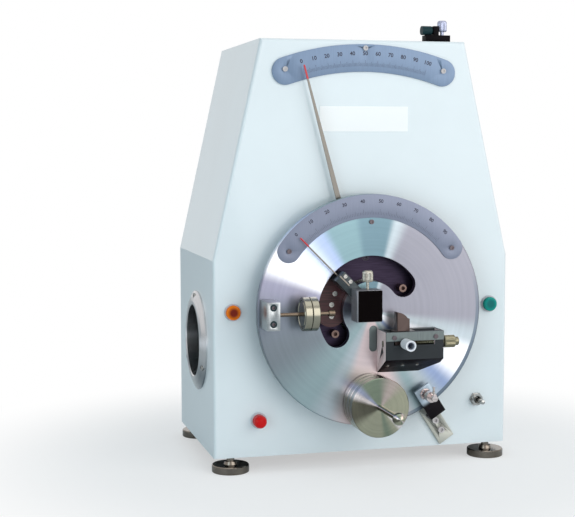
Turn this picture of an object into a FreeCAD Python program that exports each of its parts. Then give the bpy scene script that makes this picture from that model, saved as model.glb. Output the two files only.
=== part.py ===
import FreeCAD, Part
import os
import re
import Sketcher

os.makedirs("parts", exist_ok=True)

V = FreeCAD.Vector
turn = FreeCAD.Rotation
doc = FreeCAD.newDocument("bending_stiffness_tester")
sheet = doc.addObject("Spreadsheet::Sheet", "dims")

# front is the panel's face, sill the casing's lower edge and hub the height of the measuring axis.
# Depths (y) are given from the panel's face, angles clockwise from straight up.
sizes = {
    "front": -41.675, "sill": 15.5, "hub": 166, "seat_gap": 0.3, "running": 0.05,
    "case_width": 320, "case_top": 220, "case_height": 427, "case_depth": 189,
    "taper_z": 203, "wall": 2, "edge_round": 3, "lug": 12,
    "floor_thick": 3, "foot_inset": 18.8, "foot_y": 8.6, "foot_radius": 19.25, "foot_disc": 7.8,
    "stud_radius": 4, "boss_radius": 6, "boss_height": 12,
    "port_y": 85, "port_z": 111, "port_radius": 38, "ring_radius": 53, "ring_height": 6, "ring_depth": 7,
    "load_drop": 18.5, "load_band": 28, "load_span": 19.1, "load_thick": 2,
    "flange_radius": 60, "flange_thick": 5, "barrel_radius": 37, "barrel_length": 70,
    "race_outer": 31, "race_wide": 12, "sleeve_radius": 20, "sleeve_bore": 14, "sleeve_back": 92,
    "shaft_radius": 6, "small_race": 8, "shaft_back": 100,
    "stop_radius": 43, "stop_cw": 60.5, "stop_ccw": -124,
    "arrest_angle": 147.3, "strap_wide": 18.5, "strap_thick": 3, "arrest_radius": 104,
    "leg_outer": 171, "leg_inner": 131, "lip_inner": 96, "lip_depth": -31,
    "button_inset": 20, "button_radius": 7.4, "button_out": 6.5, "lamp_inset": 46.5, "lamp_z": 38,
    "lamp_radius": 6.7, "lamp_out": 14, "toggle_inset": 33.7, "toggle_z": 48, "lever_out": 21,
    "arm_front": -15, "arm_thick": 6, "arm_mid": 40, "arm_band": 32, "arm_start": -91, "arm_stop": -63,
    "vise_angle": -45, "bar_back": -27.5, "bar_front": -39, "block_front": -58,
    "block_wide": 26, "block_low": -7, "block_high": 25, "jaw_gap": 1, "jaw_high": 13,
    "tooth_size": 1.5, "gear_teeth": 48, "pinion_teeth": 16, "gear_wide": 12, "gear_back": 90,
    "disc_radius": 119.5, "disc_back": -16, "disc_thick": 8, "chamfer": 1,
    "slot_mid": 43.5, "slot_wide": 26.5, "slot_start": -123, "slot_stop": 53, "groove_deep": 1.5,
    "angle_radius": 107.5, "angle_band": 24, "angle_span": 54.2, "plate_thick": 1,
    "needle_start": 62, "needle_past": 0.5, "needle_angle": -15,
    "rod_radius": 2, "rod_y": -43, "rod_dz": 1.5, "wheel_radius": 17, "wheel_wide": 7.2,
    "cradle_left": 6.5, "cradle_right": 69, "cradle_front": -51, "cradle_top": -19.1, "cradle_low": -48,
    "channel_back": -33, "channel_front": -47.5, "feed_z": -32, "feed_y": -42,
    "weight_radius": 30.5, "weight_dz": -95, "weight_thick": 10, "weight_back": -25, "ball_radius": 6.3,
    "spindle_radius": 3, "spindle_front": -105,
    "motor_radius": 25, "motor_clear": 29, "bracket_back": 96,
    "top_x": 72, "top_y": 20,
    "small_hole": 1.55, "large_hole": 2.05, "small_shank": 1.5, "large_shank": 2, "head_gap": 0.1,
    "mid_screw": 91.2, "post_reach": 10, "pointer_tip": 108, "grip_x": -12, "grip_shank": 1.75,
    "clamp_x": 27, "clamp_dz": -31, "clamp_radius": 5.5, "clamp_length": 16, "clamp_clear": 2.5,
    "slider_left": 18, "slider_wide": 22, "finger_left": 22, "finger_wide": 13, "feed_radius": 3,
    "bracket_left": -117.5, "bracket_wide": 13.2, "bracket_front": -56, "bracket_x": -111,
}
for row, (word, value) in enumerate(sizes.items(), 1):
    sheet.set(f"A{row}", word)
    sheet.set(f"B{row}", str(value))
    sheet.setAlias(f"B{row}", word)
doc.recompute()

worked_out = {
    "foot_x": "(case_width / 2 - foot_inset)",
    "button_x": "(case_width / 2 - button_inset)",
    "lamp_x": "(lamp_inset - case_width / 2)",
    "toggle_x": "(case_width / 2 - toggle_inset)",
    "load_radius": "(sill + case_height - hub - load_drop)",
    "needle_tip": "(sill + case_height - hub - load_drop + needle_past)",
    "motor_length": "(case_depth - bracket_back - motor_clear)",
    "lean": "((case_width - case_top) / 2 / (case_height - taper_z))",
    "terminal_x": "(case_width / 2 - 100)",
    "inlet_x": "(46 - case_width / 2)",
}
words = re.compile(r"\b(" + "|".join(sorted(sizes, key=len, reverse=True)) + r")\b")
ways = {
    "front": turn(V(1, 0, 0), 90),
    "rear": turn(V(1, 0, 0), -90),
    "right": turn(V(0, 1, 0), 90),
    "left": turn(V(0, 1, 0), -90),
    "up": turn(),
}
nodes = {}


def bound(text):
    text = str(text)
    for word, rule in worked_out.items():
        text = re.sub(rf"\b{word}\b", rule, text)
    return words.sub(r"dims.\1", text)


def num(text):
    return float(sheet.evalExpression(bound(text)))


def fix(obj, **given):
    for prop, text in given.items():
        obj.setExpression(prop, bound(text))
    return obj


def place(obj, x, y, z, rotation):
    spot = {"x": x, "y": f"front + ({y})", "z": z}
    base = V(num(spot["x"]), num(spot["y"]), num(spot["z"]))
    obj.Placement = FreeCAD.Placement(base, rotation)
    for letter, text in spot.items():
        obj.setExpression(f"Placement.Base.{letter}", bound(text))
    return obj


def rod(radius, length, x="0", y="0", z="hub", way="front"):
    obj = fix(doc.addObject("Part::Cylinder", "rod"), Radius=radius, Height=length)
    return place(obj, x, y, z, ways[way])


def cone(start, end, length, x, y, z, way="front"):
    obj = fix(doc.addObject("Part::Cone", "cone"), Radius1=start, Radius2=end, Height=length)
    return place(obj, x, y, z, ways[way])


def ball(radius, x, y, z):
    return place(fix(doc.addObject("Part::Sphere", "ball"), Radius=radius), x, y, z, turn())


def nut(flats, length, x, y, z, way="front"):
    obj = doc.addObject("Part::Prism", "nut")
    obj.Polygon = 6
    fix(obj, Circumradius=f"({flats}) / 2 / cos(30)", Height=length)
    return place(obj, x, y, z, ways[way])


def block(x, y, z, wide, deep, tall):
    obj = fix(doc.addObject("Part::Box", "block"), Length=wide, Width=deep, Height=tall)
    return place(obj, x, y, z, turn())


def fuse(*shapes):
    obj = doc.addObject("Part::MultiFuse", "joined")
    obj.Shapes = list(shapes)
    return obj


def cut(base, *tools):
    obj = doc.addObject("Part::Cut", "cut")
    obj.Base = base
    obj.Tool = tools[0] if len(tools) == 1 else fuse(*tools)
    return obj


def group(*shapes):
    obj = doc.addObject("Part::Compound", "group")
    obj.Links = list(shapes)
    return obj


def node(name, obj):
    obj.Label = name
    nodes[name] = obj
    return obj


def polar(radius, angle, dx="0"):
    x = f"({radius}) * sin({angle}) + ({dx}) * cos({angle})"
    z = f"hub + ({radius}) * cos({angle}) - ({dx}) * sin({angle})"
    return x, z


def tube(radius, bore, length, x="0", y="0", z="hub", way="front"):
    return cut(rod(radius, length, x, y, z, way), rod(bore, length, x, y, z, way))


def spoke(wide, inner, outer, angle, y, thick):
    x, z = polar(inner, angle, f"-({wide}) / 2")
    obj = fix(doc.addObject("Part::Box", "spoke"), Length=wide, Width=thick,
        Height=f"({outer}) - ({inner})")
    return place(obj, x, f"({y}) - ({thick})", z, turn(V(0, 1, 0), num(angle)))


def arc(mid, band, start, stop, y, thick):
    sector = rod(f"({mid}) + ({band}) / 2", thick, y=y)
    fix(sector, Angle=f"({stop}) - ({start})")
    sector.Placement.Rotation = ways["front"] * turn(V(0, 0, 1), 90 - num(stop))
    inside = rod(f"({mid}) - ({band}) / 2", f"({thick}) + 2", y=f"({y}) + 1")
    caps = [rod(f"({band}) / 2", thick, polar(mid, end)[0], y, polar(mid, end)[1]) for end in (start, stop)]
    return fuse(cut(sector, inside), *caps)


def sketch(body, plane, points):
    drawn = body.newObject("Sketcher::SketchObject", "outline")
    drawn.AttachmentSupport = ([f for f in body.Origin.OriginFeatures if f.Role == plane][0], [""])
    drawn.MapMode = "FlatFace"
    spots = [(num(a), num(b)) for a, b in points]
    count = len(spots)
    for i, (a, b) in enumerate(spots):
        c, d = spots[(i + 1) % count]
        drawn.addGeometry(Part.LineSegment(V(a, b, 0), V(c, d, 0)), False)
    for i in range(count):
        drawn.addConstraint(Sketcher.Constraint("Coincident", (i - 1) % count, 2, i, 1))
    for i, (spot, texts) in enumerate(zip(spots, points)):
        for kind, value, text in zip(("DistanceX", "DistanceY"), spot, texts):
            number = drawn.addConstraint(Sketcher.Constraint(kind, -1, 1, i, 1, value))
            drawn.setExpression(f"Constraints[{number}]", bound(text))
    return drawn


def prism(points, thick, y="0", x="0", z="0", plane="XZ_Plane", rotation=turn()):
    body = doc.addObject("PartDesign::Body", "prism")
    pad = body.newObject("PartDesign::Pad", "pad")
    pad.Profile = sketch(body, plane, points)
    pad.setExpression("Length", bound(thick))
    body.Tip = pad
    return place(body, x, y, z, rotation)


def turned(points, x="0", y="0", z="hub", way="front"):
    body = doc.addObject("PartDesign::Body", "turned")
    profile = sketch(body, "XZ_Plane", points)
    spin = body.newObject("PartDesign::Revolution", "spin")
    spin.Profile = profile
    spin.ReferenceAxis = (profile, ["V_Axis"])
    spin.Angle = 360
    body.Tip = spin
    return place(body, x, y, z, ways[way])


def gear(teeth, bore, x, y, z, half_pitch):
    root = f"tooth_size * ({teeth} / 2 - 1.25)"
    tip = f"tooth_size * ({teeth} / 2 + 1)"
    body = doc.addObject("PartDesign::Body", "gear")
    corners = [(f"{root} - 0.6", "-1.45"), (tip, "-0.45"), (tip, "0.45"), (f"{root} - 0.6", "1.45")]
    tooth = body.newObject("PartDesign::Pad", "tooth")
    tooth.Profile = sketch(body, "XY_Plane", corners)
    tooth.setExpression("Length", bound("gear_wide"))
    ring = body.newObject("PartDesign::PolarPattern", "ring")
    ring.Originals = [tooth]
    ring.Axis = (tooth.Profile[0], ["N_Axis"])
    ring.Angle = 360
    ring.setExpression("Occurrences", bound(teeth))
    body.Tip = ring
    place(body, x, y, z, ways["front"] * turn(V(0, 0, 1), half_pitch * 180 / num(teeth)))
    return cut(fuse(rod(root, "gear_wide", x, y, z), body), rod(bore, "gear_wide", x, y, z))


def screw(x, y, z, head, tall, shank, reach, way="front", hexagon=True):
    outward = {"front": -1, "rear": 1}.get(way, 0)
    sideways = {"right": 1, "left": -1}.get(way, 0)
    top = {"up": 1}.get(way, 0)
    start = (f"({x}) - {sideways} * ({reach})", f"({y}) - {outward} * ({reach})",
        f"({z}) - {top} * ({reach})")
    body = fuse(rod(head, tall, x, y, z, way), rod(shank, f"({reach}) + ({tall}) / 2", *start, way))
    socket_at = (f"({x}) + {sideways} * ({tall}) / 2", f"({y}) + {outward} * ({tall}) / 2",
        f"({z}) + {top} * ({tall}) / 2")
    if hexagon:
        return cut(body, nut(head, tall, *socket_at, way))
    slot = block(f"({socket_at[0]}) - ({head})", f"({socket_at[1]}) - ({head})", f"({socket_at[2]}) - 0.4",
        f"2 * ({head})", f"2 * ({head})", "0.8")
    return cut(body, slot)


# Casing: folded sheet, open at the back and below, with holes for what passes through the panel.
def case_outline(inset, foot):
    low = [("-case_width / 2", foot), ("case_width / 2", foot), ("case_width / 2", "sill + taper_z")]
    high = [("case_top / 2", "sill + case_height"), ("-case_top / 2", "sill + case_height")]
    ring = low + high + [("-case_width / 2", "sill + taper_z")]
    sign = {True: "+", False: "-"}
    lower = f"case_height - {inset}"
    return [(f"({x}) {sign[x.startswith('-')]} {inset}", z.replace("case_height", lower)) for x, z in ring]


shell = prism(case_outline("0", "sill"), "case_depth", y="case_depth")
doc.recompute()
folded = shell.Tip
front_edges = []
for number, edge in enumerate(folded.Shape.Edges, 1):
    box = edge.BoundBox
    if box.YMax < -num("case_depth") + 0.01 and box.ZMax > num("sill") + 1:
        front_edges.append(f"Edge{number}")
rounding = shell.newObject("PartDesign::Fillet", "rounding")
rounding.Base = (folded, front_edges)
rounding.setExpression("Radius", bound("edge_round"))
shell.Tip = rounding
hollow = prism(case_outline("wall", "sill - 1"), "case_depth + 1 - wall", y="case_depth + 1")

lug_spots = [("case_width / 2 - wall - lug + 0.5", "sill + 30"),
    ("case_top / 2 + lean * 15 - 0.5 - lug", "sill + case_height - 27")]
lugs = []
cover_spots = []
for x, z in lug_spots:
    lugs.append(block(x, "case_depth - 12", z, "lug", "12", "lug"))
    lugs.append(block(f"-({x}) - lug", "case_depth - 12", z, "lug", "12", "lug"))
    cover_spots.append((f"({x}) + lug / 2", f"{z} + lug / 2"))
    cover_spots.append((f"-({x}) - lug / 2", f"{z} + lug / 2"))

ring_spots = []
for angle in (90, 210, 330):
    ring_spots.append((f"port_y + (ring_radius - 5) * cos({angle})",
        f"sill + port_z + (ring_radius - 5) * sin({angle})"))

load_spots = [polar("load_radius + 2", "-load_span"), polar("load_radius + 2", "load_span"),
    polar("load_radius + 10", "0")]
flange_spots = [polar("flange_radius - 6", angle) for angle in (0, 90, 180, 270)]
leg_spots = [polar("leg_inner + 14.4", "arrest_angle"), polar("leg_inner + 26.8", "arrest_angle")]
stop_spots = [polar("stop_radius", "stop_cw"), polar("stop_radius", "stop_ccw")]

panel_holes = [rod("barrel_radius + seat_gap", "4", y="3")]
panel_holes += [rod("8.5", "4", x, "3", "hub") for x in ("-button_x", "button_x")]
panel_holes.append(rod("6.2", "4", "lamp_x", "3", "sill + lamp_z"))
panel_holes.append(rod("6.1", "4", "toggle_x", "3", "sill + toggle_z"))
panel_holes += [rod("small_hole", "4", x, "3", z) for x, z in load_spots + leg_spots]
panel_holes.append(rod("port_radius + 3.3", "case_width + 2", "-case_width / 2 - 1", "port_y",
    "sill + port_z", "right"))
panel_holes += [rod("small_hole", "case_width + 2", "-case_width / 2 - 1", y, z, "right")
    for y, z in ring_spots]
panel_holes += [rod("small_hole", "14", x, "case_depth + 1", z) for x, z in cover_spots]
panel_holes.append(rod("large_hole", "4", "top_x + 4", "top_y", "sill + case_height - 3", "up"))
node("casing", cut(fuse(cut(shell, hollow), *lugs), *panel_holes))

# Floor, rear cover and feet
feet = {
    "foot_front_left": ("-foot_x", "foot_y"),
    "foot_front_right": ("foot_x", "foot_y"),
    "foot_rear_left": ("-foot_x", "case_depth - foot_y"),
    "foot_rear_right": ("foot_x", "case_depth - foot_y"),
}
floor = block("-case_width / 2 + wall + seat_gap", "wall + seat_gap", "sill",
    "case_width - 2 * wall - 2 * seat_gap", "case_depth - wall - 2 * seat_gap", "floor_thick")
bosses = [rod("boss_radius", "boss_height + floor_thick", x, y, "sill", "up") for x, y in feet.values()]
stud_holes = [rod("stud_radius + running", "boss_height + floor_thick + 2", x, y, "sill - 1", "up")
    for x, y in feet.values()]
node("base_plate", cut(fuse(floor, *bosses), *stud_holes))
for name, (x, y) in feet.items():
    profile = [("0", "0"), ("foot_radius - 0.6", "0"), ("foot_radius", "0.6"),
        ("foot_radius", "foot_disc - 0.8"), ("foot_radius - 0.8", "foot_disc"), ("7", "foot_disc"),
        ("6", "foot_disc + 3"), ("stud_radius", "foot_disc + 3"), ("stud_radius", "sill + boss_height"),
        ("0", "sill + boss_height")]
    node(name, turned(profile, x, y, "0", "up"))

cover = prism(case_outline("0.5", "sill + 0.5"), "wall", y="case_depth + wall")
louvres = [block("-45", "case_depth - 1", f"sill + 270 + {step} * 11", "90", "wall + 2", "4")
    for step in range(8)]
inlet_hole = block("inlet_x", "case_depth - 1", "sill + 50", "28", "wall + 2", "20")
cover_holes = [rod("small_hole", "4", x, "case_depth + 3", z) for x, z in cover_spots]
node("rear_cover", cut(cover, inlet_hole, *louvres, *cover_holes))
case_screws = [screw(x, "case_depth + wall", z, "3.2", "2.2", "small_shank", "9", "rear")
    for x, z in cover_spots]

# Carrying grips in the side walls
grip_profile = [("port_radius", "-ring_depth"), ("port_radius", "ring_height - 1"),
    ("port_radius + 1", "ring_height"), ("port_radius + 4", "ring_height - 0.2"),
    ("port_radius + 8", "ring_height - 1.2"), ("port_radius + 12", "ring_height - 3"),
    ("ring_radius", "1.6"), ("ring_radius", "0"), ("port_radius + 3", "0"),
    ("port_radius + 3", "-ring_depth")]
grip_seat = "case_width / 2 + ring_height - 3"
grip_holes = [rod("small_hole", "case_width + 20", "-case_width / 2 - 10", y, z, "right")
    for y, z in ring_spots]
grip_holes += [rod("3", "6", f"-({grip_seat})", y, z, "left") for y, z in ring_spots]
grip_holes += [rod("3", "6", grip_seat, y, z, "right") for y, z in ring_spots]
left_grip = turned(grip_profile, "-case_width / 2", "port_y", "sill + port_z", "left")
right_grip = turned(grip_profile, "case_width / 2", "port_y", "sill + port_z", "right")
node("grip_rings", cut(group(left_grip, right_grip), *grip_holes))
case_screws += [screw(f"-({grip_seat})", y, z, "2.8", "1.6", "small_shank", "7", "left")
    for y, z in ring_spots]
case_screws += [screw(grip_seat, y, z, "2.8", "1.6", "small_shank", "7", "right") for y, z in ring_spots]
node("case_screws", group(*case_screws))

# Load scale on the panel, bearing housing and its bearings
load_holes = [rod("small_hole", "load_thick + 2", x, "1", z) for x, z in load_spots]
node("load_scale_plate", cut(arc("load_radius", "load_band", "-load_span", "load_span", "0", "load_thick"),
    *load_holes))
housing_profile = [("race_outer + 0.03", "flange_thick"), ("flange_radius - 0.8", "flange_thick"),
    ("flange_radius", "flange_thick - 0.8"), ("flange_radius", "0"), ("barrel_radius", "0"),
    ("barrel_radius", "-barrel_length"), ("race_outer + 0.03", "-barrel_length"),
    ("race_outer + 0.03", "2 + race_wide - barrel_length"),
    ("race_outer - 3", "2 + race_wide - barrel_length"), ("race_outer - 3", "-2 - race_wide"),
    ("race_outer + 0.03", "-2 - race_wide")]
sunk = [rod("4.1", "3.4", x, "-flange_thick + 3.2", z) for x, z in flange_spots]
bolts = [rod("large_hole", "12", x, "4", z) for x, z in flange_spots]
stops = [rod("large_hole", "3.6", x, "-flange_thick + 3.5", z) for x, z in stop_spots]
node("bearing_housing", cut(turned(housing_profile), *sunk, *bolts, *stops))
node("sleeve_bearings", group(tube("race_outer", "sleeve_radius + running", "race_wide", y="2 + race_wide"),
    tube("race_outer", "sleeve_radius + running", "race_wide", y="barrel_length - 2")))
stop_screws = [screw(x, "-flange_thick", z, "4", "-arm_front + 0.5 - flange_thick", "2", "3")
    for x, z in stop_spots]
node("arm_stop_screws", group(*stop_screws))

# Arrest: a cranked strap whose screw reaches over the disc's edge
riser_start = "leg_inner - strap_thick"
leg = spoke("strap_wide", riser_start, "leg_outer", "arrest_angle", "0", "strap_thick")
riser = spoke("strap_wide", riser_start, "leg_inner", "arrest_angle", "0", "strap_thick - lip_depth")
lip = spoke("strap_wide", "lip_inner", "leg_inner", "arrest_angle", "lip_depth", "strap_thick")
strap = fuse(leg, riser, lip)
arrest_x, arrest_z = polar("arrest_radius", "arrest_angle")
strap_holes = [rod("small_hole", "8", x, "3", z) for x, z in leg_spots]
strap_holes.append(rod("spindle_radius + running", "8", arrest_x, "lip_depth + 2", arrest_z))
node("arrest_bracket", cut(strap, *strap_holes))
arrest_body = fuse(rod("spindle_radius", "36", arrest_x, "-25.5", arrest_z),
    nut("10", "3.6", arrest_x, "lip_depth - strap_thick - 1.2", arrest_z),
    rod("6", "1", arrest_x, "lip_depth - strap_thick - 0.1", arrest_z),
    rod("5.5", "7", arrest_x, "-45", arrest_z),
    rod("1.2", "15", arrest_x, "-57.5", f"({arrest_z}) - 3", "up"))
node("arrest_screw", arrest_body)
panel_screws = [screw(x, "-load_thick", z, "2.6", "1.6", "small_shank", "load_thick + wall")
    for x, z in load_spots]
panel_screws += [screw(x, "-strap_thick", z, "3.4", "3.4", "small_shank", "strap_thick + wall")
    for x, z in leg_spots]
panel_screws += [screw(x, "-flange_thick + 3.2", z, "4", "3", "2", "1.7") for x, z in flange_spots]
node("panel_screws", group(*panel_screws))

# Push buttons, pilot lamp and toggle switch
bezels = []
for x in ("-button_x", "button_x"):
    sleeve = fuse(rod("8.2", "24", x, "22", "hub"), rod("8.9", "1.6", x, "0", "hub"))
    bezels.append(cut(sleeve, rod("button_radius + running", "24", x, "20", "hub")))
lamp_base = fuse(rod("5.9", "20", "lamp_x", "18", "sill + lamp_z"),
    rod("8.3", "3", "lamp_x", "0", "sill + lamp_z"))
bezels.append(cut(lamp_base, rod("lamp_radius - 2", "19", "lamp_x", "13", "sill + lamp_z"),
    rod("lamp_radius + 0.1", "2", "lamp_x", "-1.2", "sill + lamp_z")))
node("panel_bezels", group(*bezels))
for name, x in (("orange_button", "-button_x"), ("green_button", "button_x")):
    profile = [("0", "-10"), ("button_radius", "-10"), ("button_radius", "button_out - 1.4"),
        ("button_radius - 0.5", "button_out - 0.5"), ("button_radius - 1.6", "button_out"),
        ("0", "button_out")]
    node(name, turned(profile, x))
lamp_profile = [("0", "-8"), ("lamp_radius - 2.1", "-8"), ("lamp_radius - 2.1", "1.3"),
    ("lamp_radius", "1.3"), ("lamp_radius", "lamp_out - 4.2"), ("lamp_radius - 0.9", "lamp_out - 1.9"),
    ("lamp_radius - 3", "lamp_out - 0.4"), ("0", "lamp_out")]
node("red_lamp", turned(lamp_profile, "lamp_x", z="sill + lamp_z"))
switch = fuse(block("toggle_x - 6.5", "wall + 0.5", "sill + toggle_z - 10", "13", "19", "20"),
    rod("6", "9", "toggle_x", "3", "sill + toggle_z"), nut("13", "2.4", "toggle_x", "0", "sill + toggle_z"))
well = fuse(ball("4.2", "toggle_x", "-1", "sill + toggle_z"),
    cone("2.2", "4.1", "6.1", "toggle_x", "0", "sill + toggle_z"))
node("toggle_switch", cut(switch, well))
lever_profile = [("0", "-3"), ("2.4", "-2.6"), ("3.6", "-1.4"), ("4.05", "0"), ("3.6", "1.6"),
    ("1.9", "3.4"), ("1.7", "5"), ("2.7", "lever_out - 3"), ("2.2", "lever_out - 1.4"),
    ("0", "lever_out - 1")]
node("toggle_lever", turned(lever_profile, "toggle_x", "-1", "sill + toggle_z"))

# Fitting on the roof: a small level vial beside its thumb screw
roof = "sill + case_height"
saddle = fuse(block("top_x", "top_y - 6", roof, "27", "12", "7.5"),
    block("top_x + 9", "top_y - 5", roof, "5.6", "10", "17"))
saddle = cut(saddle, rod("3.2", "20", "top_x - 1", "top_y", f"{roof} + 12.5", "right"),
    rod("large_hole", "20", "top_x + 20", "top_y", f"{roof} - 1", "up"))
saddle = fuse(saddle, rod("2", "5", "top_x + 4", "top_y", f"{roof} - 4", "up"))
node("top_fitting", saddle)
node("level_vial", fuse(rod("4.75", "10.5", "top_x - 3", "top_y", f"{roof} + 12.5", "right"),
    rod("3.15", "8", "top_x + 7", "top_y", f"{roof} + 12.5", "right")))
thumb_profile = [("0", "1"), ("2", "1"), ("2", "11.5"), ("4.4", "11.5"), ("5", "12.1"), ("5", "22"),
    ("4.2", "23"), ("0", "23")]
node("top_thumb_screw", turned(thumb_profile, "top_x + 20", "top_y", roof, "up"))

# Vise: sleeve in the housing, arm behind the disc, post through the slot and block on the axis
node("vise_sleeve", tube("sleeve_radius", "sleeve_bore", "sleeve_back - arm_front - arm_thick",
    y="sleeve_back"))
node("shaft_bearings", group(tube("sleeve_bore - 0.02", "shaft_radius + running", "small_race", y="1"),
    tube("sleeve_bore - 0.02", "shaft_radius + running", "small_race", y="sleeve_back - 1")))
arm = fuse(arc("arm_mid", "arm_band", "arm_start", "arm_stop", "arm_front + arm_thick", "arm_thick"),
    rod("arm_mid - 12", "arm_thick", y="arm_front + arm_thick"))
arm_spots = [polar("arm_mid", angle) for angle in (-64, -81, -98)]
arm_holes = [rod("2.65", "2.6", x, "arm_front + 2.1", z) for x, z in arm_spots]
arm_holes += [rod("small_hole", "arm_thick + 2", x, "arm_front + arm_thick + 1", z) for x, z in arm_spots]
arm_holes.append(rod("sleeve_bore - 6", "arm_thick + 2", y="arm_front + arm_thick + 1"))
node("vise_arm", cut(arm, *arm_holes))
arm_screws = [screw(x, "arm_front + 2.1", z, "2.6", "2", "small_shank", "3.6") for x, z in arm_spots]
node("vise_arm_screws", group(*arm_screws))
post_end = "slot_mid + post_reach"
pillar = spoke("12", "slot_mid - post_reach", post_end, "vise_angle", "arm_front", "arm_front - bar_back")
bar = spoke("13", "14", post_end, "vise_angle", "bar_back", "bar_back - bar_front")
node("vise_post", fuse(pillar, bar))
tip_x, tip_z = polar(post_end, "vise_angle")
needle = fix(doc.addObject("Part::Cylinder", "needle"), Radius="0.8",
    Height="pointer_tip - slot_mid - post_reach")
place(needle, tip_x, "bar_back - 1.4", tip_z, turn(V(0, 1, 0), num("vise_angle")))
node("vise_pointer", needle)
node("drive_gear", gear("gear_teeth", "sleeve_radius + 0.02", "0", "gear_back", "hub", 0))
depth = "bar_front - block_front"
body = block("-block_wide", "block_front", "hub + block_low", "block_wide", depth, "block_high - block_low")
mouth = block("-block_wide + 7", "block_front - 1", "hub", "block_wide", f"{depth} + 2", "block_high - 8")
body = cut(body, mouth, rod("grip_shank + running", "12", "grip_x", "(bar_front + block_front) / 2",
    "hub + block_high - 9", "up"))
node("vise_block", body)
jaw = block("-block_wide + 7.1", "block_front", "hub + jaw_gap", "block_wide - 7.1", depth,
    "jaw_high - jaw_gap")
node("vise_jaw", jaw)
knob_profile = [("0", "jaw_high"), ("grip_shank", "jaw_high"), ("grip_shank", "block_high + 7.5"),
    ("5.4", "block_high + 7.5"), ("6.35", "block_high + 8.4"), ("6.35", "block_high + 18"),
    ("5.4", "block_high + 19"), ("0", "block_high + 19")]
node("vise_thumb_screw", turned(knob_profile, "grip_x", "(bar_front + block_front) / 2", "hub", "up"))

# Drive: gear motor on its bracket, terminal block and power inlet
motor_z = "hub - tooth_size * (gear_teeth + pinion_teeth) / 2"
node("motor_pinion", fuse(gear("pinion_teeth", "3", "0", "gear_back", motor_z, 1),
    rod("3", "gear_wide + 16", "0", "gear_back + 16", motor_z)))
plate = block("-30", "bracket_back - 3", "sill + floor_thick", "60", "3",
    f"({motor_z}) + 24 - sill - floor_thick")
flange = block("-30", "bracket_back - 3", "sill + floor_thick", "60", "27", "3")
node("motor_bracket", cut(fuse(plate, flange), rod("8", "6", "0", "bracket_back + 1", motor_z)))
motor = fuse(rod("motor_radius", "18", "0", "bracket_back + 18", motor_z),
    rod("motor_radius - 2", "motor_length", "0", "bracket_back + motor_length", motor_z),
    rod("7.9", "3", "0", "bracket_back", motor_z))
node("gear_motor", cut(motor, rod("3.1", "17", "0", "bracket_back + 14", motor_z)))
terminals = block("terminal_x", "120", "sill + floor_thick", "56", "20", "14")
wire_wells = [rod("3", "8", f"terminal_x + 8 + {step} * 10", "130", "sill + floor_thick + 8", "up")
    for step in range(5)]
node("terminal_block", cut(terminals, *wire_wells))
inlet = fuse(block("inlet_x + 0.3", "case_depth - 22", "sill + 50.3", "27.4", "24", "19.4"),
    block("inlet_x - 3", "case_depth + wall", "sill + 47", "34", "2", "26"))
inlet = cut(inlet, block("inlet_x + 4", "case_depth - 14", "sill + 54", "20", "20", "12"))
pins = [block(f"inlet_x + 13.3 + {dx}", "case_depth - 16", f"sill + {dz}", "1.4", "12", "4")
    for dx, dz in ((-5, 56), (0, 59), (5, 56))]
node("power_inlet", fuse(inlet, *pins))

# Pendulum: disc, shaft, both pointers' seats and the angle scale
disc_front = "disc_back - disc_thick"
disc_profile = [("shaft_radius + 0.02", "0"), ("disc_radius", "0"), ("disc_radius", "disc_thick - chamfer"),
    ("disc_radius - chamfer", "disc_thick"), ("shaft_radius + 0.02", "disc_thick")]
kidney = arc("slot_mid", "slot_wide", "slot_start", "slot_stop", "disc_back + 1", "disc_thick + 2")
groove_back = f"{disc_front} + groove_deep"
groove = fuse(block("-2", f"{disc_front} - 1", "hub - 38", "9", "groove_deep + 1", "18"),
    rod("4.5", "groove_deep + 1", "2.5", groove_back, "hub - 38"),
    rod("4.5", "groove_deep + 1", "2.5", groove_back, "hub - 20"))
angle_spots = [polar("angle_radius", "-angle_span"), polar("angle_radius", "angle_span")]
bracket_spots = [("bracket_x", "hub + 10.3"), ("bracket_x", "hub - 6")]
disc_holes = [rod("small_hole", "disc_thick + 4", x, "disc_back + 2", z)
    for x, z in angle_spots + [polar("mid_screw", "0")]]
disc_holes.append(rod("spindle_radius + 0.02", "disc_thick + 2", "0", "disc_back + 1", "hub + weight_dz"))
node("pendulum_disc", cut(turned(disc_profile, y="disc_back"), kidney, groove, *disc_holes))
node("pendulum_shaft", fuse(rod("shaft_radius", "shaft_back - disc_back + disc_thick + 9", y="shaft_back"),
    rod("shaft_radius + 1.5", "-disc_back - 7.2", y="-7.2")))
nut_profile = [("shaft_radius + 0.02", "0"), ("11", "0"), ("11", "5"), ("10", "6"),
    ("shaft_radius + 0.02", "6")]
node("shaft_nuts", group(turned(nut_profile, y=disc_front),
    turned(nut_profile, y="shaft_back - 1", way="front")))
plate = arc("angle_radius", "angle_band - 0.2", "-angle_span", "angle_span", disc_front, "plate_thick")
angle_holes = [rod("small_hole", "4", x, f"{disc_front} + 1", z) for x, z in angle_spots]
node("angle_scale_plate", cut(plate, *angle_holes))
needle = [("-2.6", "needle_start"), ("2.6", "needle_start"), ("2.6", "disc_radius"), ("0.7", "needle_tip"),
    ("-0.7", "needle_tip"), ("-2.6", "disc_radius")]
node("load_pointer", prism(needle, "1.6", y="-8", z="hub", rotation=turn(V(0, 1, 0), num("needle_angle"))))
node("pointer_block", spoke("10", "needle_start + 2", "needle_start + 24", "needle_angle", "-9.6",
    "-disc_back - 9.6"))

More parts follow.
